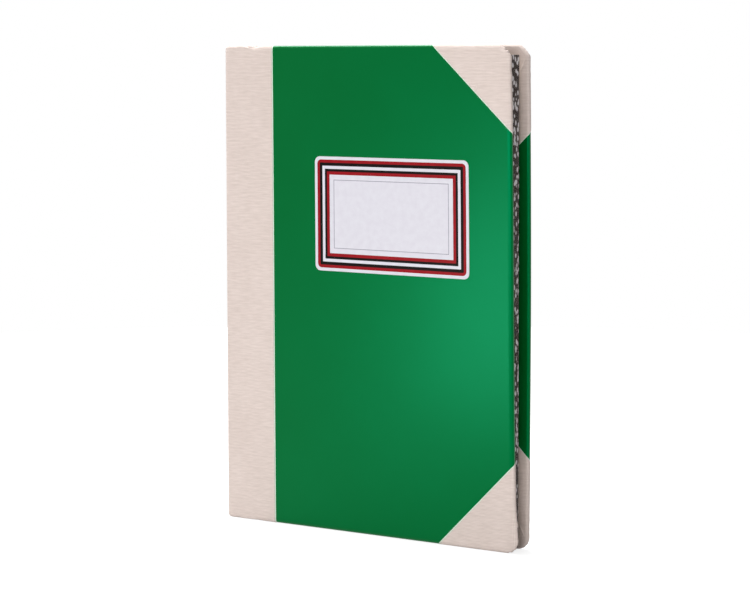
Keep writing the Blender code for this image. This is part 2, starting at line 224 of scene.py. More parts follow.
set_ramp(cloth_tones, [(0.0, "#cfbeb5"), (0.5, "#e4d4cc"), (1.0, "#f7e8e2")])
tree.links.new(cloth_tones.outputs["Color"], shader.inputs["Base Color"])
relief = node(tree, "ShaderNodeBump", {"Strength": 0.25, "Distance": 0.08 * MM},
              {"Height": threads.outputs[0]})
tree.links.new(relief.outputs["Normal"], shader.inputs["Normal"])
print("made", book_cloth.name)

# %% [markdown]
# **Covering paper** for the sides is printed solid green and varnished to a satin. It has no
# weave; the eye gets one deep green and a broad soft sheen, a little uneven because the sheet
# was brushed down wet over the board. The ink film colours the reflection, so the sheen is
# tinted. Where the sheet was cut, a hair line of its pale core shows.

# %% Satin green paper and its cut core
BRUSHED_SIZE = 34 * MM
FIBRE_SIZE = 0.9 * MM        # paper fibre is finer than this, drawn coarser so that it shows

green_paper, tree, shader = start_finish("satin_green_paper", {"IOR": 1.45,
                                                               "Specular Tint": linear("#00ffbc")})
brushed = clouded(tree, BRUSHED_SIZE, 2.0, [(0.25, "#005b1e"), (0.75, "#005f23")])
tree.links.new(brushed, shader.inputs["Base Color"])
lay = node(tree, "ShaderNodeAttribute", {"attribute_name": "lay"})
fibres = node(tree, "ShaderNodeTexNoise", {"Scale": per_metre(FIBRE_SIZE), "Detail": 2.0},
              {"Vector": lay.outputs["Vector"]})
satin = node(tree, "ShaderNodeMapRange", {"To Min": 0.27, "To Max": 0.35},
             {"Value": fibres.outputs["Fac"]})
tree.links.new(satin.outputs[0], shader.inputs["Roughness"])
relief = node(tree, "ShaderNodeBump", {"Strength": 0.06, "Distance": 0.05 * MM},
              {"Height": fibres.outputs["Fac"]})
tree.links.new(relief.outputs["Normal"], shader.inputs["Normal"])

paper_core, tree, shader = start_finish("cut_paper_core", {"Roughness": 0.8, "IOR": 1.45})
cut_fibres = clouded(tree, 2 * FIBRE_SIZE, 3.0, [(0.3, "#d6efdb"), (0.7, "#e9f9ec")])
tree.links.new(cut_fibres, shader.inputs["Base Color"])
print("made", green_paper.name, "and", paper_core.name)

# %% [markdown]
# **The label** is coated paper, offset printed in two inks. Coating makes it smooth and faintly
# blue-white; the inks dry to a slightly glossier film. The bands are real faces of the label,
# so each ink needs only its tone, with a faint mottle from the press.

# %% Coated label paper and its inks
PRESS_MOTTLE = 3 * MM


def printed(name, dark, light, roughness):
    """A press-printed tone that wanders a little between two hex colours."""
    material, tree, shader = start_finish(name, {"Roughness": roughness, "IOR": 1.5,
                                                 "Specular IOR Level": 0.06})
    mottle = clouded(tree, PRESS_MOTTLE, 2.0, [(0.3, dark), (0.7, light)])
    tree.links.new(mottle, shader.inputs["Base Color"])
    return material


label_paper = printed("coated_label_paper", "#e2dfe8", "#e7e5ed", 0.5)
red_ink = printed("red_offset_ink", "#96141c", "#a01a23", 0.4)
black_ink = printed("black_offset_ink", "#0c0706", "#130c0b", 0.4)
rule_ink = printed("grey_rule_ink", "#9d98a7", "#a6a1b0", 0.5)
print("made", label_paper.name, red_ink.name, black_ink.name, rule_ink.name)

# %% [markdown]
# **Writing paper** is white, uncoated and ruled in pale blue for writing. The rules could be
# thin strips of mesh, but ink has no height, so they are drawn in the finish from the height of
# a point on its page. **The cut edges** of the block were marbled in black: clear drops are
# sprinkled on a bath of black ink and push it aside, and the clamped block picks it all up. A cell
# pattern gives the drops, each of its own size, and a noise bends them as the bath does.

# %% Ruled paper and marbled edges
RULE_PITCH = 8 * MM
RULE_WIDTH = 0.30 * MM
TOP_MARGIN = 22 * MM
FOOT_MARGIN = 12 * MM
PULP_CLOUD = 6 * MM

ruled_paper, tree, shader = start_finish("ruled_writing_paper", {"Roughness": 0.85, "IOR": 1.45,
                                                                 "Specular IOR Level": 0.25})
lay = node(tree, "ShaderNodeAttribute", {"attribute_name": "lay"})
height = node(tree, "ShaderNodeSeparateXYZ", None, {0: lay.outputs["Vector"]})
in_rows = node(tree, "ShaderNodeMath", {"operation": "DIVIDE", 1: RULE_PITCH}, {0: height.outputs["Z"]})
in_row = node(tree, "ShaderNodeMath", {"operation": "FRACT"}, {0: in_rows.outputs[0]})
on_rule = node(tree, "ShaderNodeMath", {"operation": "LESS_THAN", 1: RULE_WIDTH / RULE_PITCH},
               {0: in_row.outputs[0]})
below_top = node(tree, "ShaderNodeMath", {"operation": "LESS_THAN", 1: Z_PAGE_HEAD - TOP_MARGIN},
                 {0: height.outputs["Z"]})
above_foot = node(tree, "ShaderNodeMath", {"operation": "GREATER_THAN", 1: Z_PAGE_TAIL + FOOT_MARGIN},
                  {0: height.outputs["Z"]})
in_field = node(tree, "ShaderNodeMath", {"operation": "MULTIPLY"},
                {0: below_top.outputs[0], 1: above_foot.outputs[0]})
ruled = node(tree, "ShaderNodeMath", {"operation": "MULTIPLY"},
             {0: on_rule.outputs[0], 1: in_field.outputs[0]})
pulp = clouded(tree, PULP_CLOUD, 3.0, [(0.3, "#e3e1da"), (0.7, "#eae8e2")])
page = node(tree, "ShaderNodeMix", {"data_type": "RGBA", 7: linear("#9fb0c8")},
            {0: ruled.outputs[0], 6: pulp})
tree.links.new(page.outputs[2], shader.inputs["Base Color"])

DROP_SIZE = 1.7 * MM
DROP_SQUEEZE = (0.7, 1, 0.7)     # below 1, a drop is drawn out along that axis
DROP_VARIETY = 0.25              # how far the largest drops push the ink, as a share of a cell
BATH_SWIRL = 5 * MM

marbled_edge, tree, shader = start_finish("black_marbled_page_edge", {"Roughness": 0.6, "IOR": 1.45,
                                                                      "Specular IOR Level": 0.01})
lay = node(tree, "ShaderNodeAttribute", {"attribute_name": "lay"})
swirl = node(tree, "ShaderNodeTexNoise", {"Scale": per_metre(BATH_SWIRL), "Detail": 4.0},
             {"Vector": lay.outputs["Vector"]})
bent = node(tree, "ShaderNodeVectorMath", {"operation": "MULTIPLY_ADD", 1: (DROP_SIZE,) * 3},
            {0: swirl.outputs["Color"], 2: lay.outputs["Vector"]})
squeezed = node(tree, "ShaderNodeVectorMath", {"operation": "MULTIPLY", 1: DROP_SQUEEZE},
                {0: bent.outputs[0]})
drops = node(tree, "ShaderNodeTexVoronoi", {"Scale": per_metre(DROP_SIZE)},
             {"Vector": squeezed.outputs[0]})
drop_size = node(tree, "ShaderNodeSeparateColor", None, {0: drops.outputs["Color"]})
from_drop = node(tree, "ShaderNodeMath", {"operation": "MULTIPLY_ADD", 1: -DROP_VARIETY},
                 {0: drop_size.outputs[0], 2: drops.outputs["Distance"]})
marble_tones = node(tree, "ShaderNodeValToRGB", None, {"Fac": from_drop.outputs[0]})
set_ramp(marble_tones, [(0.15, "#f0eaec"), (0.23, "#c9bfc2"), (0.28, "#4f3633"), (0.33, "#2e1d1c")])
tree.links.new(marble_tones.outputs["Color"], shader.inputs["Base Color"])
print("made", ruled_paper.name, "and", marbled_edge.name)

# %% [markdown]
# **The hidden materials** of a case still get their own look, because the book opens: white
# endpaper, grey millboard pressed from waste paper, open cotton gauze, linen thread, brown kraft
# lining and the woven cotton of the head bands. Most are one tone clouded by fibres of a known
# size, so one recipe makes them all.

# %% Fibrous materials
def fibrous(name, dark, light, fibre, stretch, coordinates="lay"):
    """A matt material clouded between two tones by fibres of one size, drawn out along one way."""
    material, tree, shader = start_finish(name, {"Roughness": 0.88, "IOR": 1.45,
                                                 "Specular IOR Level": 0.2})
    if coordinates == "lay":
        place = node(tree, "ShaderNodeAttribute", {"attribute_name": "lay"}).outputs["Vector"]
    else:
        place = node(tree, "ShaderNodeTexCoord").outputs[coordinates]
    drawn = node(tree, "ShaderNodeVectorMath", {"operation": "MULTIPLY", 1: stretch}, {0: place})
    fibres = node(tree, "ShaderNodeTexNoise", {
        "Scale": per_metre(fibre), "Detail": 4.0, "Roughness": 0.6}, {"Vector": drawn.outputs[0]})
    tones = node(tree, "ShaderNodeValToRGB", None, {"Fac": fibres.outputs["Fac"]})
    set_ramp(tones, [(0.3, dark), (0.7, light)])
    tree.links.new(tones.outputs["Color"], shader.inputs["Base Color"])
    relief = node(tree, "ShaderNodeBump", {"Strength": 0.15, "Distance": 0.05 * MM},
                  {"Height": fibres.outputs["Fac"]})
    tree.links.new(relief.outputs["Normal"], shader.inputs["Normal"])
    return material


endpaper = fibrous("uncoated_endpaper", "#e8e5dc", "#f0ede5", 4 * MM, (1, 1, 1))
greyboard = fibrous("pressed_greyboard", "#8b867e", "#a39d93", 2 * MM, (1, 1, 1))
gauze = fibrous("starched_cotton_gauze", "#cfc9b8", "#e6e1d3", 1.2 * MM, (1, 1, 1))
spine_card = fibrous("rolled_spine_card", "#8b867e", "#a39d93", 2 * MM, (1, 1, 1), "Object")
spine_gauze = fibrous("folded_cotton_gauze", "#cfc9b8", "#e6e1d3", 1.2 * MM, (1, 1, 0.4), "Object")
thread = fibrous("twisted_linen_thread", "#d8cfb8", "#ece5d2", 0.5 * MM, (1, 1, 1), "Object")
kraft = fibrous("brown_kraft_paper", "#a57c4f", "#bb9160", 3 * MM, (1, 1, 0.2), "Object")

BAND_STITCH = 1.1 * MM       # the real cotton wraps are finer, drawn coarser so that they show
band_cotton, tree, shader = start_finish("woven_cotton_band", {"Roughness": 0.8, "IOR": 1.45,
                                                               "Specular IOR Level": 0.3})
lay = node(tree, "ShaderNodeAttribute", {"attribute_name": "lay"})
wraps = node(tree, "ShaderNodeTexWave", {"bands_direction": "Y", "Scale": bands_per_metre(BAND_STITCH)},
             {"Vector": lay.outputs["Vector"]})
band_tones = node(tree, "ShaderNodeValToRGB", None, {"Fac": wraps.outputs["Fac"]})
set_ramp(band_tones, [(0.2, "#c9c2b3"), (0.8, "#f1ede3")])
tree.links.new(band_tones.outputs["Color"], shader.inputs["Base Color"])
relief = node(tree, "ShaderNodeBump", {"Strength": 0.5, "Distance": 0.15 * MM},
              {"Height": wraps.outputs["Fac"]})
tree.links.new(relief.outputs["Normal"], shader.inputs["Normal"])
print("made", len(bpy.data.materials), "materials in all")

# %% [markdown]
# ## How the sheets are made
# Every covering here is a sheet that was flat once. A sheet is built from rows of points, like
# a net, and each point carries two things: where it is now, and where it lay on the flat sheet.
# Board and block aren't quite flat either. A sewn block is thickest at its folds, and the boards
# have dried with a slight twist, the front one most, its head corner standing off and its tail
# corner pressed in. The block hangs in its case by the spine only, so it sags a little towards the
# fore-edge. Doing all that by hand on each piece would tear them apart, so one function moves every
# point, and the leaves between the boards share out what the boards do.

# %% The twist of the boards and the swell of the folds
FRONT_TWIST = 2.3 * MM       # at the fore-edge corners, forward at the head and back at the tail
FRONT_CURL = 1.5 * MM        # the same way, but close to the corners only
BACK_TWIST = 1.0 * MM
BACK_BOW = 1.4 * MM          # backward at half height, for the back board alone
SWELL = 2.2 * MM             # how much thinner the block is at its fore-edge than at its folds
SAG = 1.3 * MM               # how far the block hangs down at its fore-edge
Y_COVER = Y_FLYLEAF_OUT + 0.01 * MM      # a point further out than this belongs to a cover


def portion(value, start, end):
    """How far a value has come from start to end, held between 0 and 1."""
    return min(1.0, max(0.0, (value - start) / (end - start)))


def settle(point):
    """Where a point of the flat-built book comes to lie once the boards have twisted."""
    x, y, z = point
    across = portion(x, X_HINGE, X_FORE)
    up = (z - Z_MIDDLE) / (Z_HEAD - Z_MIDDLE)
    depth = portion(y, -Y_FLYLEAF_OUT, Y_FLYLEAF_OUT)
    forward = (FRONT_TWIST * up + FRONT_CURL * up ** 3) * (1 - depth) + BACK_TWIST * up * depth
    swell = SWELL * depth if y < Y_COVER else 0.0
    sag = SAG if abs(y) < Y_COVER else 0.0
    bow = BACK_BOW * (1 - up ** 2) if y > Y_COVER else 0.0
    return Vector((x, y - across * (forward + swell - bow), z - across * sag))


head_corner = settle((X_FORE, -Y_CLOTH_OUT, Z_HEAD))
print("head corner stands off by", round((-Y_CLOTH_OUT - head_corner.y) / MM, 2), "mm")

# %% Helpers for sheets and solids
WELD = 0.002 * MM
SHARP_ANGLE = math.radians(38)


def new_mesh():
    """An empty mesh whose points can keep the place where they lay on the flat sheet."""
    mesh = bmesh.new()
    mesh.verts.layers.float_vector.new("lay")
    return mesh


def spaced(start, end, steps):
    """Evenly spaced values from start to end."""
    return [start + (end - start) * i / steps for i in range(steps + 1)]


def ease(value, start, end):
    """A smooth step from 0 at start to 1 at end."""
    part = portion(value, start, end)
    return part * part * (3 - 2 * part)


def edged(start, end, steps, margin):
    """Evenly spaced values with a narrow cell of one width at each end."""
    return [start] + spaced(start + margin, end - margin, steps) + [end]


def lay_grid(mesh, rows, slot_of=None):
    """Fill a net of (point, flat place) rows with faces. slot_of(row, column) picks the finish."""
    layer = mesh.verts.layers.float_vector["lay"]
    net = []
    for row in rows:
        line = []
        for point, flat in row:
            vert = mesh.verts.new(settle(point))
            vert[layer] = flat
            line.append(vert)
        net.append(line)
    for r in range(len(net) - 1):
        for c in range(len(net[0]) - 1):
            face = mesh.faces.new((net[r][c], net[r][c + 1], net[r + 1][c + 1], net[r + 1][c]))
            face.material_index = slot_of(r, c) if slot_of else 0


def add_piece(name, mesh, finishes):
    """Weld a mesh, turn its faces out and link it as a named piece with its finishes."""
    bmesh.ops.remove_doubles(mesh, verts=mesh.verts, dist=WELD)
    bmesh.ops.recalc_face_normals(mesh, faces=mesh.faces)
    furthest = max(mesh.faces, key=lambda face: abs(face.calc_center_median().y))
    if furthest.normal.y * furthest.calc_center_median().y < 0:
        bmesh.ops.reverse_faces(mesh, faces=mesh.faces)
    data = bpy.data.meshes.new(name)
    mesh.to_mesh(data)
    mesh.free()
    for finish in finishes:
        data.materials.append(finish)
    data.shade_smooth()
    data.set_sharp_from_angle(angle=SHARP_ANGLE)
    piece = bpy.data.objects.new(name, data)
    bpy.context.scene.collection.objects.link(piece)
    return piece


def thicken(piece, thickness, rim_slot=0):
    """Give a sheet its thickness on the inner side, and keep the result as its mesh.

    The large faces then set the shading, so that flats stay flat beside rounded edges."""
    solid = piece.modifiers.new("thickness", "SOLIDIFY")
    solid.thickness = thickness
    solid.offset = -1
    solid.material_offset_rim = rim_slot
    evaluated = piece.evaluated_get(bpy.context.evaluated_depsgraph_get())
    data = bpy.data.meshes.new_from_object(evaluated)
    piece.modifiers.clear()
    piece.data = data
    data.set_sharp_from_angle(angle=SHARP_ANGLE)
    piece.modifiers.new("flat_shading", "WEIGHTED_NORMAL").keep_sharp = True


print("helpers for sheets ready")

# %% [markdown]
# ## Sheets that wrap a board
# Cloth and paper go over a board's edge and are glued down inside as turn-ins. A bevelled box
# would give a round edge but no sheet. Here the sheet's way over the edge is worked out once, as
# stations: how far in from the edge, how deep below the face, and how far along the sheet. The
# last of these is what keeps a slanted cut running straight round the edge, as it does when a
# real sheet is folded.

# %% The way of a sheet over an edge
EDGE_RADIUS = 1.1 * MM
EDGE_REACH = 1.9 * MM        # the rounding starts this far in on the outer face
BEND_STEPS = 6
INNER_INSETS = [1.4, 1.8, 2.2, 2.6, 3.0, 3.4, 3.9, 4.6, 5.5, 7.5, 11, 15]     # mm, to the turn-in's end


def edge_path(depth, radius, reach):
    """Stations of a sheet over an edge: inset, depth and travel past the edge line."""
    angles = spaced(0, math.pi / 2, BEND_STEPS)
    bend = [(reach * (1 - math.sin(a)), radius * (1 - math.cos(a))) for a in angles]
    bend += [(radius * (1 - math.cos(a)), depth - radius * (1 - math.sin(a))) for a in angles]
    bend += [(inset * MM, depth) for inset in INNER_INSETS]
    stations = []
    travel = -reach
    for i, (inset, deep) in enumerate(bend):
        if i:
            travel += math.hypot(inset - bend[i - 1][0], deep - bend[i - 1][1])
        stations.append((inset, deep, travel))
    return stations


paper_path = edge_path(Y_PAPER_OUT - Y_PAPER_IN, EDGE_RADIUS, EDGE_REACH)
cloth_path = edge_path(Y_CLOTH_OUT - Y_CLOTH_IN, EDGE_RADIUS, EDGE_REACH)
print("paper runs", round((paper_path[-1][2]) / MM, 1), "mm past the edge")

# %% [markdown]
# The **green sides** run from the cloth strip to the fore-edge and stop at the two slanted
# corners. The face is a net whose rows end on those slants, and three more nets carry it over
# head, tail and fore-edge. The outermost cell along each cut is the bare core of the paper.

# %% Green paper sides
SEAM = 0.1 * MM
HEAD_LEGS = (CORNER_LEG + 1.2 * MM, CORNER_LEG - 1.2 * MM)     # along the head and down the fore-edge
TAIL_LEGS = (CORNER_LEG + 1.0 * MM, CORNER_LEG + 1.0 * MM)     # cut by hand, so not quite alike
PAPER_THICKNESS = 0.2 * MM
CORE_WIDTH = 0.5 * MM
PAPER_COLUMNS = 18
PAPER_CORNER_ROWS = 9
PAPER_MIDDLE_ROWS = 26


def green_side(side):
    """The net of one green side, face, edges and turn-ins."""
    cut = 1 + SEAM * math.sqrt(2) / CORNER_LEG
    mesh = new_mesh()

    def at(x, z, deep, flat_x, flat_z):
        return (x, side * (Y_PAPER_OUT - deep), z), (flat_x, flat_z, 0)

    def slant_x(z):
        """Where the slanted cut nearest to a height ends the sheet."""
        return X_FORE - max(HEAD_LEGS[0] * (cut - (Z_HEAD - z) / HEAD_LEGS[1]),
                            TAIL_LEGS[0] * (cut - (z - Z_TAIL) / TAIL_LEGS[1]))

    def slant_z(x):
        """The heights where both slanted cuts cross an upright line."""
        return (Z_TAIL + TAIL_LEGS[1] * (cut - (X_FORE - x) / TAIL_LEGS[0]),
                Z_HEAD - HEAD_LEGS[1] * (cut - (X_FORE - x) / HEAD_LEGS[0]))

    face_end = X_PAPER_FORE - EDGE_REACH
    low, high = slant_z(face_end)
    heights = spaced(Z_PAPER_TAIL + EDGE_REACH, low, PAPER_CORNER_ROWS)[:-1]
    heights += edged(low, high, PAPER_MIDDLE_ROWS, CORE_WIDTH)
    heights += spaced(high, Z_PAPER_HEAD - EDGE_REACH, PAPER_CORNER_ROWS)[1:]
    last = PAPER_COLUMNS + 1

    def face_columns(z):
        """Levels across the face. The last cell is core beside a cut, and closes between the cuts."""
        end = min(face_end, slant_x(z))
        margin = CORE_WIDTH if min(z - low, high - z) < WELD else 5 * WELD
        return [X_PAPER] + spaced(X_PAPER + CORE_WIDTH, end - margin, PAPER_COLUMNS) + [end]

    def face_slot(row, column):
        beside_cut = min(heights[row + 1] - low, high - heights[row]) <= CORE_WIDTH + WELD
        return int(column == 0 or (beside_cut and column == last))

    def flap_slot(row, column):
        return int(column in (0, last))

    lay_grid(mesh, [[at(x, z, 0, x, z) for x in face_columns(z)] for z in heights], face_slot)
    for edge, outward in ((Z_PAPER_TAIL, -1), (Z_PAPER_HEAD, 1)):
        rows = []
        for inset, deep, travel in paper_path:
            flat_z = edge + outward * travel
            rows.append([at(x, edge - outward * inset, deep, x, flat_z)
                         for x in edged(X_PAPER, slant_x(flat_z), PAPER_COLUMNS, CORE_WIDTH)])
        lay_grid(mesh, rows, flap_slot)
    rows = []
    for inset, deep, travel in paper_path:
        flat_x = X_PAPER_FORE + travel
        rows.append([at(X_PAPER_FORE - inset, z, deep, flat_x, z)
                     for z in edged(*slant_z(flat_x), PAPER_MIDDLE_ROWS, CORE_WIDTH)])
    lay_grid(mesh, rows, lambda row, column: int(column in (0, PAPER_MIDDLE_ROWS + 1)))
    return mesh


for word, side in SIDES:
    piece = add_piece(f"{word}_green_paper", green_side(side), [green_paper, paper_core])
    thicken(piece, PAPER_THICKNESS, 1)
    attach(piece, f"{word}_cover")
    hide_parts(f"{word}_paper")
    print(piece.name, len(piece.data.polygons), "faces")

# %% [markdown]
# The **cloth corners** are triangles that wrap two edges and the round between them. Rows run
# parallel to the board's outline, so the same net turns the corner on the face, over the edge and
# inside. Inside, the turn-in of the fore-edge lies over that of the head or tail, and its slanted
# end makes a small step, which real corners show. The cloth is gathered where it goes round the
# corner, so it puckers there.

# %% Cloth corners
CLOTH_THICKNESS = 0.3 * MM
CORNER_RADIUS = 4.85 * MM
CORNER_STEPS = 12
HEAD_POWER = 1.2             # 2 is a true round; less is flatter, as the corner of a worn board
TAIL_POWER = 1.8
LEG_STEPS = 28
LEG_CROWDING = 1.8           # above 1, points crowd towards the corner
FACE_SHARES = [1, 0.86, 0.7, 0.54, 0.43, 0.35, 0.3, 0.26, 0.22, 0.175, 0.13]
FOLD_START = 3.6 * MM        # where the fold leaves the edge, measured from the head or tail
FOLD_SLOPE = 1.75            # how far it runs along for each millimetre inwards
FOLD_DEPTH = 4.4 * MM
FOLD_FULL = 1.5 * EDGE_RADIUS    # this far in from the edge the fold has its height
FOLD_FADE = 1.0 * MM
FOLD_SPACING = 0.1 * MM
FOLD_SHAPE = [   # distance along the edge from the fold in mm, height as a share
    (-0.6, 0.0), (-0.3, 0.6), (-0.1, 1.0), (0.2, 1.0), (0.5, 0.7), (0.9, 0.2), (1.2, 0.0), (2.5, 0.0)]
FOLD_HEIGHT = 0.24 * MM
FRONT_FOLD_HEIGHT = 0.10 * MM  # pressed flatter in front, where the flyleaf lies against it
PUCKERS = 7
PUCKER_HEIGHT = 0.30 * MM
BACK_PUCKER_HEIGHT = 0.10 * MM
PUCKER_RUN = 22 * MM
PUCKER_WAVES = (0.75 * MM, 2.6 * MM)     # two waves that beat together, each by its run for one radian
BUNCH = 0.75 * MM            # how far the cloth is bunched up at the front tail corner


def corner_reach(angle, end):
    """How far a corner's outline reaches from its centre, as a share of the radius."""
    power = HEAD_POWER if end > 0 else TAIL_POWER
    return (math.sin(angle) ** power + math.cos(angle) ** power) ** (-1 / power)


def cloth_corner(side, end):
    """The net of one corner. The end is 1 at the head and -1 at the tail."""
    depth = Y_CLOTH_OUT - Y_CLOTH_IN
    edge, legs = (Z_HEAD, HEAD_LEGS) if end > 0 else (Z_TAIL, TAIL_LEGS)
    bunch = BUNCH if (side, end) == (FRONT, -1) else 0.0
    height = PUCKER_HEIGHT if side == FRONT else BACK_PUCKER_HEIGHT
    ridge = FRONT_FOLD_HEIGHT if side == FRONT else FOLD_HEIGHT
    meeting = legs[0] * legs[1] / (legs[0] + legs[1])
    mesh = new_mesh()
    rows = []
    shares = [(i / LEG_STEPS) ** LEG_CROWDING for i in range(LEG_STEPS + 1)]

    def fold_steps(inset, leg):
        """Distances from the end along the fore-edge, gathered about the fold."""
        fold = FOLD_START + FOLD_SLOPE * min(inset, FOLD_DEPTH)
        near = [max(CORNER_RADIUS + FOLD_SPACING * (i + 1), fold + along * MM)
                for i, (along, rise) in enumerate(FOLD_SHAPE)]
        return [max(CORNER_RADIUS, inset)] + near + spaced(near[-1], leg, LEG_STEPS)[1:]

    rises = [0.0] + [rise for along, rise in FOLD_SHAPE] + [0.0] * LEG_STEPS
    edge_steps = fold_steps(EDGE_RADIUS, legs[1])
    fore_shares = [(step - edge_steps[0]) / (legs[1] - edge_steps[0]) for step in edge_steps]
    path = [(share * meeting, 0.0, -share * meeting) for share in FACE_SHARES] + cloth_path
    for inset, deep, travel in path:
        reach = max(CORNER_RADIUS, inset)
        round_radius = reach - inset
        gather = math.sin(math.pi * min(1.0, deep / depth))
        inside = deep == depth
        row = []

        def put(from_fore, from_end, flat, lift=0.0):
            place = (X_FORE - from_fore, side * (Y_CLOTH_OUT - deep - lift), edge - end * from_end)
            row.append((place, (*flat, 0)))

        end_leg = legs[0] * (1 + travel / legs[1])
        fore_leg = legs[1] * (1 + travel / legs[0])
        for share in reversed(shares):
            from_fore = reach + (end_leg - reach) * share
            put(from_fore, inset, (X_FORE - from_fore, edge + end * travel))
        for i in range(1, CORNER_STEPS):
            angle = math.pi / 2 * i / CORNER_STEPS
            pucker = height * math.sin(PUCKERS * 2 * angle) * math.sin(2 * angle)
            swing = round_radius * corner_reach(angle, end)
            swing += gather * (pucker + bunch * math.sin(angle) ** 2)
            flat_reach = CORNER_RADIUS + travel
            put(reach - swing * math.sin(angle), reach - swing * math.cos(angle),
                (X_FORE - CORNER_RADIUS + flat_reach * math.sin(angle),
                 edge + end * (flat_reach * math.cos(angle) - CORNER_RADIUS)))
        steps = [reach + (fore_leg - reach) * share for share in fore_shares]
        if inside and inset < CORNER_RADIUS:
            steps = fold_steps(inset, fore_leg)
        fade = ease(inset, EDGE_RADIUS, FOLD_FULL) * inside
        fade *= ease(inset, FOLD_DEPTH, FOLD_DEPTH - FOLD_FADE)
        for from_end, rise in zip(steps, rises):
            wave = math.prod(math.sin(from_end / run) for run in PUCKER_WAVES)
            bulge = gather * (height * wave + bunch) * ease(from_end, PUCKER_RUN, PUCKER_RUN / 2)
            put(inset - bulge, from_end, (X_FORE + travel, edge - end * from_end), ridge * rise * fade)
        rows.append(row)
    lay_grid(mesh, rows)
    return mesh


for word, side in SIDES:
    for place, end in (("head", 1), ("tail", -1)):
        piece = add_piece(f"{word}_{place}_corner_cloth", cloth_corner(side, end), [book_cloth])
        thicken(piece, CLOTH_THICKNESS)
        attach(piece, f"{word}_cover")
        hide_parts(f"{word}_corner_{place}")
        print(piece.name, len(piece.data.polygons), "faces")

# %% [markdown]
# ## The spine cloth
# One strip of cloth covers the spine and reaches onto both boards. It is made in three pieces
# that meet at the two creases. The middle one stays with the spine. The outer ones cross the
# joints and are kept where they are built, riding on no body. A station says where the strip's
# outside runs as seen from the head, how thick the case is there, and how far the turned-in
# cloth sinks at head and tail, which it does in the joint, where there is no board to hold it up.

# %% Spine and joint cloth
SHOULDER_RADIUS = 4 * MM
SPINE_LAYERS = 1.5 * MM
JOINT_LAYERS = 0.8 * MM
GROOVE = 0.30 * MM
CREASE_NOTCH = 0.12 * MM
CREASE_HALF_WIDTH = 0.9 * MM
HEAD_SINK = 0.9 * MM
TAIL_SINK = 0.2 * MM
CAP_PULL = 1.6               # the cloth is drawn in over the back of the spine, as a share of the sink
CAP_SHAPE = 0.7              # below 1, the pull sets in early on the shoulder
CARD_END = X_CREASE + 1.5 * MM
BOARD_START = X_BOARD - 1.0 * MM
BOARD_FULL = X_BOARD + 0.5 * MM
SINK_START = X_CREASE + 1.5 * MM
SINK_END = X_BOARD + 5 * MM
SPINE_STEPS = 6
SHOULDER_STEPS = 10
STRIP_STEP = 0.5 * MM
CLOTH_ROWS = 24


def strip_level(x):
    """The distance of the strip's outside from the middle of the book."""
    across = portion(x, X_CREASE, X_BOARD)
    level = Y_SPINE + (Y_CLOTH_OUT - Y_SPINE) * across - GROOVE * math.sin(math.pi * across) ** 2
    return level - CREASE_NOTCH * math.exp(-((x - X_CREASE) / CREASE_HALF_WIDTH) ** 2)


def strip_layers(x):
    """The case's thickness under the strip: spine card, bare joint, then board."""
    board_layers = Y_CLOTH_OUT - Y_CLOTH_IN
    thick = SPINE_LAYERS + (JOINT_LAYERS - SPINE_LAYERS) * ease(x, X_CREASE, CARD_END)
    return thick + (board_layers - JOINT_LAYERS) * ease(x, BOARD_START, BOARD_FULL)


def strip_sink(x):
    """How far the turned-in ends of the strip sink, as a share of the most they do."""
    return math.sin(math.pi * portion(x, SINK_START, SINK_END)) ** 2


def cloth_strip(stations):
    """The net of a strip along stations of (x, y, layers, sink, distance along the strip)."""
    mesh = new_mesh()
    columns = []
    for i, (x, y, layers, sink, along) in enumerate(stations):
        before = stations[max(0, i - 1)]
        after = stations[min(len(stations) - 1, i + 1)]
        run = Vector((after[0] - before[0], after[1] - before[1], 0)).normalized()
        inward = Vector((run.y, -run.x, 0))
        if i == 0:
            turn = 1 if inward.dot(Vector((-x, -y, 0))) > 0 else -1
        radius = min(EDGE_RADIUS, layers / 2 - WELD)
        path = edge_path(layers, radius, radius * EDGE_REACH / EDGE_RADIUS)
        ends = []
        for edge, outward in ((Z_TAIL + TAIL_SINK * sink, -1), (Z_HEAD - HEAD_SINK * sink, 1)):
            ends.append([(inset, deep, edge - outward * inset, edge + outward * travel)
                         for inset, deep, travel in path])
        low = ends[0][0][2]
        high = ends[1][0][2]
        middle = [(0, 0.0, z, z) for z in spaced(low, high, CLOTH_ROWS)[1:-1]]
        column = []
        for inset, deep, z, flat_z in ends[0][::-1] + middle + ends[1]:
            place = Vector((x, y, z)) + inward * (turn * deep)
            column.append((tuple(place), (along, flat_z, 0)))
        columns.append(column)
    lay_grid(mesh, columns)
    return mesh


def spine_stations():
    """From the back crease round the spine to the front crease."""
    outline = [(x, strip_level(x)) for x in spaced(X_CREASE, X_SPINE + SHOULDER_RADIUS, SPINE_STEPS)]
    for angle in spaced(0, math.pi / 2, SHOULDER_STEPS)[1:]:
        outline.append((X_SPINE + SHOULDER_RADIUS * (1 - math.sin(angle)),
                        Y_SPINE - SHOULDER_RADIUS * (1 - math.cos(angle))))
    outline += [(x, -y) for x, y in outline[::-1]]
    stations = []
    along = 0.0
    for i, (x, y) in enumerate(outline):
        if i:
            along += math.hypot(x - outline[i - 1][0], y - outline[i - 1][1])
        turned = portion(Y_SPINE - abs(y), 0.0, SHOULDER_RADIUS)
        stations.append((x, y, SPINE_LAYERS, CAP_PULL * turned ** CAP_SHAPE, along))
    return stations


def joint_stations(side, start_along):
    """From the crease over the joint onto the board, on one side."""
    steps = round((X_STRIP - X_CREASE) / STRIP_STEP)
    return [(x, side * strip_level(x), strip_layers(x), strip_sink(x),
             start_along + side * (X_CREASE - x)) for x in spaced(X_CREASE, X_STRIP, steps)]


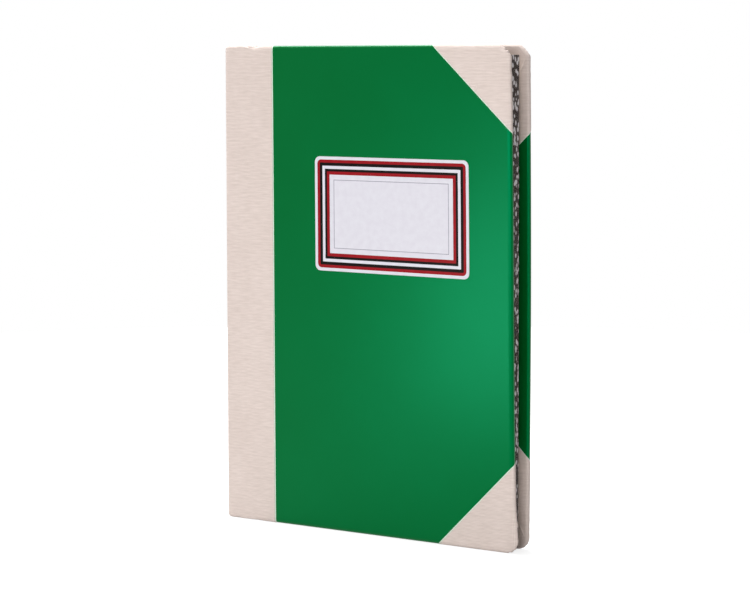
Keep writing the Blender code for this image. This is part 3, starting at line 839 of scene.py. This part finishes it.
spine_path = spine_stations()
piece = add_piece("spine_cloth_back", cloth_strip(spine_path), [book_cloth])
thicken(piece, CLOTH_THICKNESS)
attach(piece, "spine")
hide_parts("spine_cloth")
for word, side, start_along in (("front", FRONT, spine_path[-1][4]), ("back", BACK, 0.0)):
    stations = joint_stations(side, start_along)
    piece = add_piece(f"{word}_joint_strip", cloth_strip(stations), [book_cloth])
    thicken(piece, CLOTH_THICKNESS)
    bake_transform(piece)
    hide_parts(f"{word}_joint_cloth", f"{word}_cloth")
    print(piece.name, len(piece.data.polygons), "faces")
print("cloth over the spine is", round(spine_path[-1][4] / MM, 1), "mm from crease to crease")

# %% [markdown]
# ## Boards
# The **boards** are pressed grey millboard. They only show where a case is damaged, but they must
# follow the same twist as their covering. Their edges are rubbed round, and their spine-side corners
# are cut back a little, as a binder does, to let the cloth sink into the joint. The outline is cut
# into a net by planes, so that it can twist, and then moved point by point.

# %% Boards
BACK_CORNER = (5 * MM, 1.6 * MM)      # how far the spine-side corners are cut along and down
BOARD_ROUND = 0.95 * MM
ROUND_STEPS = 3
RUBBED = 0.25 * MM
BOARD_CUTS = 8


def board_outline(word):
    """The board's outline from its CAD box, with round fore-edge and cut spine-side corners."""
    left, right = span(f"{word}_board", "X")
    tail, head = span(f"{word}_board", "Z")
    right, tail, head = right - RUBBED, tail + RUBBED, head - RUBBED
    radius = CORNER_RADIUS - CLOTH_THICKNESS
    outline = [(left, tail + BACK_CORNER[1]), (left + BACK_CORNER[0], tail)]
    angles = spaced(0, math.pi / 2, BEND_STEPS)
    for end, centre, turn in ((-1, tail + radius, angles[::-1]), (1, head - radius, angles)):
        for angle in turn:
            reach = radius * corner_reach(angle, end)
            outline.append((right - radius + reach * math.cos(angle),
                            centre + end * reach * math.sin(angle)))
    return outline + [(left + BACK_CORNER[0], head), (left, head - BACK_CORNER[1])]


def board_mesh(word, side):
    """One board: its outline raised, rounded along the rim, cut into a net and twisted."""
    mesh = new_mesh()
    face = mesh.faces.new([mesh.verts.new((x, side * Y_BOARD_IN, z)) for x, z in board_outline(word)])
    raised = bmesh.ops.extrude_face_region(mesh, geom=[face])["geom"]
    for vert in [part for part in raised if isinstance(part, bmesh.types.BMVert)]:
        vert.co.y = side * Y_BOARD_OUT
    rim = [edge for edge in mesh.edges if abs(edge.verts[0].co.y - edge.verts[1].co.y) < WELD]
    bmesh.ops.bevel(mesh, geom=rim, offset=BOARD_ROUND, segments=ROUND_STEPS, profile=0.5,
                    affect="EDGES")
    low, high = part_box(f"{word}_board")
    for axis in (0, 2):
        for level in spaced(low[axis], high[axis], BOARD_CUTS)[1:-1]:
            normal = Vector((0, 0, 0))
            normal[axis] = 1
            bmesh.ops.bisect_plane(mesh, geom=mesh.verts[:] + mesh.edges[:] + mesh.faces[:],
                                   plane_co=normal * level, plane_no=normal)
    layer = mesh.verts.layers.float_vector["lay"]
    for vert in mesh.verts:
        vert[layer] = vert.co
        vert.co = settle(vert.co)
    return mesh


for word, side in SIDES:
    piece = add_piece(f"{word}_millboard", board_mesh(word, side), [greyboard])
    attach(piece, f"{word}_cover")
    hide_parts(f"{word}_board")
    print(piece.name, len(piece.data.polygons), "faces")

# %% [markdown]
# ## Leaves
# A leaf is a closed solid a tenth of a millimetre thick: two faces and four cut edges. The same
# function makes the pages, the endpapers and the gauze flaps. Pages could be one block with lines
# drawn on its edge, but this book opens, so all of its leaves are there. Each one starts at the
# folds at the spine and is kept where it is built, with its points crowded together in the stretch
# next to the folds, where a real leaf bends out of the gutter.

# %% Sections of leaves
LEAVES_PER_SECTION = 8
LEAF_AIR = 0.008 * MM
BEND_WIDTH = 42 * MM
BEND_COLUMNS = 22
FLAT_COLUMNS = 6
LEAF_ROWS = 8
TRIM_WANDER = 0.02 * MM
random.seed(7)


def add_leaf(mesh, columns, y_low, y_high, heights):
    """One closed leaf. Its cut edges take the second finish."""
    levels = (y_low, y_high)

    def at(x, y, z):
        return (x, y, z), (x, y, z)

    def edge_slot(row, column):
        return 1

    for y in levels:
        lay_grid(mesh, [[at(x, y, z) for x in columns] for z in heights])
    for z in (heights[0], heights[-1]):
        lay_grid(mesh, [[at(x, y, z) for x in columns] for y in levels], edge_slot)
    for x in (columns[0], columns[-1]):
        lay_grid(mesh, [[at(x, y, z) for z in heights] for y in levels], edge_slot)


def leaf_columns(start, bend_start, bend_end, end):
    """Levels across a leaf, close together between the two bend levels."""
    flat = spaced(bend_end, end, FLAT_COLUMNS)[1:]
    lead = [start] if bend_start - start > WELD else []
    return lead + spaced(bend_start, bend_end, BEND_COLUMNS) + flat


page_heights = spaced(Z_PAGE_TAIL, Z_PAGE_HEAD, LEAF_ROWS)
leaf_start = X_FOLDS_END
bend_end = leaf_start + BEND_WIDTH
sections = sorted(name for name in frame["nodes"] if name.startswith("section_"))
for name in sections:
    low, high = span(name, "Y")
    pitch = (high - low) / LEAVES_PER_SECTION
    mesh = new_mesh()
    for i in range(LEAVES_PER_SECTION):
        trimmed = X_PAGE_FORE + random.uniform(-TRIM_WANDER, 0)
        add_leaf(mesh, leaf_columns(leaf_start, leaf_start, bend_end, trimmed),
                 low + i * pitch + LEAF_AIR / 2, low + (i + 1) * pitch - LEAF_AIR / 2, page_heights)
    piece = add_piece(f"{name}_leaves", mesh, [ruled_paper, marbled_edge])
    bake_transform(piece)
    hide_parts(name)
print(len(sections), "sections of", LEAVES_PER_SECTION, "leaves")

# %% [markdown]
# ** Endpapers** are one folded sheet at each side: one half is pasted to the cover, the other is
# the first free leaf. The pasted half crosses the joint; it is kept where it is built, and its points
# crowd together there. It is trimmed narrower than the pages, which leaves the turn-ins to frame it.

# %% Endpapers and gauze flaps
PASTE_MARGIN = 1.6 * MM
PASTE_FORE_MARGIN = 4.5 * MM

for word, side in SIDES:
    mesh = new_mesh()
    levels = sorted((side * Y_FLYLEAF_IN, side * Y_FLYLEAF_OUT))
    add_leaf(mesh, leaf_columns(leaf_start, leaf_start, bend_end, X_PAGE_FORE), *levels, page_heights)
    piece = add_piece(f"{word}_free_endpaper", mesh, [endpaper, marbled_edge])
    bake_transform(piece)
    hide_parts(f"{word}_flyleaf")

    mesh = new_mesh()
    levels = sorted((side * Y_PASTE_IN, side * Y_PASTE_OUT))
    hinge_start = span(f"{word}_endpaper_hinge", "X")[0]
    paste_heights = spaced(Z_PAGE_TAIL + PASTE_MARGIN, Z_PAGE_HEAD - PASTE_MARGIN, LEAF_ROWS)
    paste_columns = leaf_columns(hinge_start, X_CREASE, X_BOARD, X_PAGE_FORE - PASTE_FORE_MARGIN)
    add_leaf(mesh, paste_columns, *levels, paste_heights)
    piece = add_piece(f"{word}_pasted_endpaper", mesh, [endpaper, endpaper])
    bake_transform(piece)
    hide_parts(f"{word}_pastedown", f"{word}_endpaper_hinge")

    mesh = new_mesh()
    flap = span(f"{word}_mull_flap", "X")
    add_leaf(mesh, spaced(*flap, FLAT_COLUMNS), *span(f"{word}_mull_flap", "Y"),
             spaced(*span(f"{word}_mull_flap", "Z"), LEAF_ROWS))
    piece = add_piece(f"{word}_gauze_flap", mesh, [gauze, gauze])
    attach(piece, f"{word}_cover")
    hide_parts(f"{word}_mull_flap")
print("endpapers and gauze flaps on both sides")

# %% [markdown]
# ## The back of the block
# Each section is folded, so its back is round. The folds stay with the spine. They are drawn as
# twelve outlines seen from the head and raised to the height of the page. The **bands** at head
# and tail are a cord wrapped in cotton: a bead over the ends of the folds with a tongue glued
# down their backs.

# %% Folds and bands
FOLD_STEPS = 6


def raise_outline(mesh, outline, low, high, along):
    """Close an outline into a solid between two levels of one axis."""
    layer = mesh.verts.layers.float_vector["lay"]
    rings = []
    for level in (low, high):
        ring = []
        for u, v in outline:
            place = (u, v, level) if along == "Z" else (u, level, v)
            vert = mesh.verts.new(place)
            vert[layer] = place
            ring.append(vert)
        rings.append(ring)
        face = mesh.faces.new(ring)
        face.material_index = 1
    for i in range(len(outline)):
        j = (i + 1) % len(outline)
        mesh.faces.new((rings[0][i], rings[0][j], rings[1][j], rings[1][i]))


mesh = new_mesh()
for name in sections:
    low, high = span(name, "Y")
    radius = (high - low) / 2
    outline = [(X_FOLDS_END, low), (X_FOLDS_END, high)]
    for angle in spaced(math.pi / 2, 3 * math.pi / 2, FOLD_STEPS):
        outline.append((X_FOLD + radius * (1 + math.cos(angle)), low + radius * (1 + math.sin(angle))))
    raise_outline(mesh, outline, Z_PAGE_TAIL, Z_PAGE_HEAD, "Z")
piece = add_piece("sewn_section_folds", mesh, [ruled_paper, marbled_edge])
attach(piece, "spine")
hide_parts("sewn_folds")

BEAD_STEPS = 10
BEAD_SHAPE = 0.6             # 1 is a half round; less is fuller
BAND_SEAT = 0.05 * MM        # how far the band keeps clear of the folds

for name, outward in (("head_band", 1), ("tail_band", -1)):
    low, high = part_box(name)
    page_end, bead_top, tongue_end = ((Z_PAGE_HEAD, high.z, low.z) if outward > 0
                                      else (Z_PAGE_TAIL, low.z, high.z))
    bead_base = page_end + outward * BAND_SEAT
    tongue = X_FOLD - BAND_SEAT
    centre = (low.x + high.x) / 2
    half = (high.x - low.x) / 2
    outline = [(tongue, bead_base), (tongue, tongue_end), (low.x, tongue_end)]
    for angle in spaced(math.pi, 0, BEAD_STEPS):
        rise = math.sin(angle) ** BEAD_SHAPE
        outline.append((centre + half * math.cos(angle), bead_base + (bead_top - bead_base) * rise))
    mesh = new_mesh()
    raise_outline(mesh, outline, low.y, high.y, "Y")
    piece = add_piece(f"cotton_{name}", mesh, [band_cotton, band_cotton])
    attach(piece, "spine")
    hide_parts(name)
print("folds and bands made")

# %% [markdown]
# Spine card, gauze, kraft lining and sewing thread have the right shape in the frame already, and
# no twist reaches them. They keep their CAD meshes and only take a finish.

# %% Finishes of the parts that stay as they are
KEPT = {"spine_inlay": spine_card, "mull": spine_gauze, "spine_lining": kraft}
for name in frame["nodes"]:
    if name.startswith("sewing_thread"):
        KEPT[name] = thread
for name, finish in KEPT.items():
    data = frame["nodes"][name].data
    data.materials.clear()
    data.materials.append(finish)
print(len(KEPT), "CAD parts kept")

# %% [markdown]
# ## The label
# A label is printed in bands of red and black round a writing field. Bands in a texture go soft
# when they are seen close, so each band is a ring of faces between two outlines. The outer
# outline is round at its corners, and the inner ones are nearly square.

# %% Printed label
LABEL_BANDS = [   # distance from the label's edge in mm, corner radius in mm, ink inside that line
    (0.0, 2.6, label_paper), (1.37, 1.9, red_ink), (2.70, 0.5, black_ink), (4.08, 0.2, label_paper),
    (5.42, 0.1, black_ink), (6.55, 0.1, red_ink), (7.93, 0.1, label_paper), (10.1, 0.0, rule_ink),
    (10.4, 0.0, label_paper), (14.0, 0.0, label_paper), (19.0, 0.0, label_paper)]
LABEL_SIDE_STEPS = 10
label_low, label_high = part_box("label")
label_low += Vector((1.7 * MM, 0.0, 0.65 * MM))       # cut and stuck on by hand, so a little smaller
label_high += Vector((1.0 * MM, 0.0, 0.2 * MM))       # and a little off its place
LABEL_BANDS.append(((label_high.z - label_low.z) / 2 / MM, 0.0, label_paper))


def label_ring(inset, radius, y):
    """Points round the label at one distance from its edge."""
    left, right = label_low.x + inset, label_high.x - inset
    tail, head = label_low.z + inset, label_high.z - inset
    corners = [(right - radius, head - radius, 0), (left + radius, head - radius, 1),
               (left + radius, tail + radius, 2), (right - radius, tail + radius, 3)]
    ring = []
    for x, z, quarter in corners:
        for angle in spaced(quarter * math.pi / 2, (quarter + 1) * math.pi / 2, BEND_STEPS):
            ring.append((x + radius * math.cos(angle), z + radius * math.sin(angle)))
        next_x, next_z, next_quarter = corners[(quarter + 1) % 4]
        angle = next_quarter * math.pi / 2
        end = (next_x + radius * math.cos(angle), next_z + radius * math.sin(angle))
        start = ring[-1]
        ring += list(zip(spaced(start[0], end[0], LABEL_SIDE_STEPS),
                         spaced(start[1], end[1], LABEL_SIDE_STEPS)))[1:-1]
    ring.append(ring[0])
    return [((x, y, z), (x, z, 0)) for x, z in ring]


inks = [label_paper, red_ink, black_ink, rule_ink]
rows = [label_ring(0, LABEL_BANDS[0][1] * MM, label_high.y)]
rows += [label_ring(inset * MM, radius * MM, label_low.y) for inset, radius, ink in LABEL_BANDS]
mesh = new_mesh()
lay_grid(mesh, rows, lambda row, column: inks.index(LABEL_BANDS[max(0, row - 1)][2]))
rows = [label_ring(inset * MM, radius * MM, label_high.y) for inset, radius, ink in LABEL_BANDS]
lay_grid(mesh, rows)
piece = add_piece("front_label", mesh, inks)
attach(piece, "front_cover")
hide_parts("label")
print("label of", len(LABEL_BANDS), "bands,", len(piece.data.polygons), "faces")

# %% [markdown]
# ## Studio
# The book stands on a plain white table in soft light. The table and the air behind it look
# white to the camera because their own materials say so for camera rays. They don't light the
# book any more for that, and the table still shows the book's shadow.

# %% Floor and air
FLOOR_RADIUS = 0.8
FLOOR_SEGMENTS = 96
FLOOR_DROP = 0.1 * MM
FLOOR_SEEN = 0.80            # how bright the table's own white looks in a picture
AMBIENT = 0.16

mesh = bmesh.new()
bmesh.ops.create_circle(mesh, cap_ends=True, segments=FLOOR_SEGMENTS, radius=FLOOR_RADIUS)
data = bpy.data.meshes.new("studio_floor")
mesh.to_mesh(data)
mesh.free()
floor = bpy.data.objects.new("studio_floor", data)
floor.location.z = Z_TAIL - FLOOR_DROP
bpy.context.scene.collection.objects.link(floor)
floor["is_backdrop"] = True


def strength_when_seen(tree, hidden, seen):
    """One strength for rays that light the book, another for rays that end in a picture."""
    rays = node(tree, "ShaderNodeLightPath")
    mirrored = node(tree, "ShaderNodeMath", {"operation": "MAXIMUM"},
                    {0: rays.outputs["Is Glossy Ray"], 1: rays.outputs["Is Transmission Ray"]})
    pictured = node(tree, "ShaderNodeMath", {"operation": "MAXIMUM"},
                    {0: rays.outputs["Is Camera Ray"], 1: mirrored.outputs[0]})
    return node(tree, "ShaderNodeMapRange", {"To Min": hidden, "To Max": seen},
                {"Value": pictured.outputs[0]}).outputs[0]


floor_white, tree, shader = start_finish("white_table", {"Roughness": 0.9, "Specular IOR Level": 0.0,
                                                         "Base Color": linear("#a6a6a6"),
                                                         "Emission Color": linear("#ffffff")})
tree.links.new(strength_when_seen(tree, 0.0, FLOOR_SEEN), shader.inputs["Emission Strength"])
data.materials.append(floor_white)

world = bpy.data.worlds.new("studio_air")
bpy.context.scene.world = world
world.use_nodes = True
background = world.node_tree.nodes["Background"]
background.inputs["Color"].default_value = linear("#ffffff")
tree = world.node_tree
tree.links.new(strength_when_seen(tree, AMBIENT, 1.0), background.inputs["Strength"])
print("floor at", round(floor.location.z / MM, 2), "mm")

# %% [markdown]
# Three soft boxes light the book: a wide one overhead and to the left, which draws the bright line
# along the head edge, one in front, and a small one at the side for the page edges. A fourth light
# is a small card low at the front left. Satin paper shows a light where the eye's ray would bounce
# to, and from this camera that is the front left, close to the table, so the card makes the sheen
# on the right half of the cover. It stands so near that it would also brighten the cloth beside it,
# so only mirrored rays see it.

# %% Soft boxes
def soft_box(name, place, target, size, watts):
    """A rectangular light that faces its target and stays out of the picture."""
    light = bpy.data.lights.new(name, "AREA")
    light.shape = "RECTANGLE"
    light.size, light.size_y = size
    light.energy = watts
    lamp = bpy.data.objects.new(name, light)
    lamp.location = place
    lamp.rotation_euler = (Vector(target) - Vector(place)).to_track_quat("-Z", "Y").to_euler()
    lamp.visible_camera = False
    bpy.context.scene.collection.objects.link(lamp)
    return lamp


soft_box("overhead_box", (-0.42, 0.15, 1.25), (0.0, 0.0, 0.1), (1.0, 0.9), 30.0)
soft_box("front_box", (0.12, -0.90, 0.20), (0.0, 0.0, 0.1), (0.8, 0.36), 5.2)
soft_box("side_box", (0.80, -0.16, 0.25), (0.0, 0.0, 0.1), (0.4, 0.4), 0.8)
card = soft_box("sheen_card", (-0.096, -0.304, 0.052), (0.070, -0.008, 0.1), (0.075, 0.135), 0.28)
card.visible_diffuse = False
print("three soft boxes and a sheen card")

# %% [markdown]
# The camera stands a metre away at the front right, a little above the middle of the book, and
# looks slightly down. Its place comes from the outlines of the covers in the picture, which is
# 750 by 600. It has no shift and no depth of field.

# %% Camera
CAMERA_PLACE = (0.5622, -0.8248, 0.2086)
CAMERA_YAW = 34.19
CAMERA_PITCH = 5.97
CAMERA_LENS = 109.1
SENSOR_WIDTH = 36.0

camera_data = bpy.data.cameras.new("camera")
camera_data.lens = CAMERA_LENS
camera_data.sensor_width = SENSOR_WIDTH
camera = bpy.data.objects.new("camera", camera_data)
camera.location = CAMERA_PLACE
camera.rotation_euler = (math.radians(90 - CAMERA_PITCH), 0.0, math.radians(CAMERA_YAW))
bpy.context.scene.collection.objects.link(camera)
bpy.context.scene.camera = camera
bpy.context.scene.view_settings.view_transform = "Standard"
print("camera", camera_data.lens, "mm")

# %% [markdown]
# ## Sizes and the end
# The dressed book must keep the frame's size. The last line prints the size of the dressed
# book's box in millimetres.

# %% Print the size of the dressed book
low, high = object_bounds()
print("visual box in mm", [round(length / MM, 2) for length in high - low])
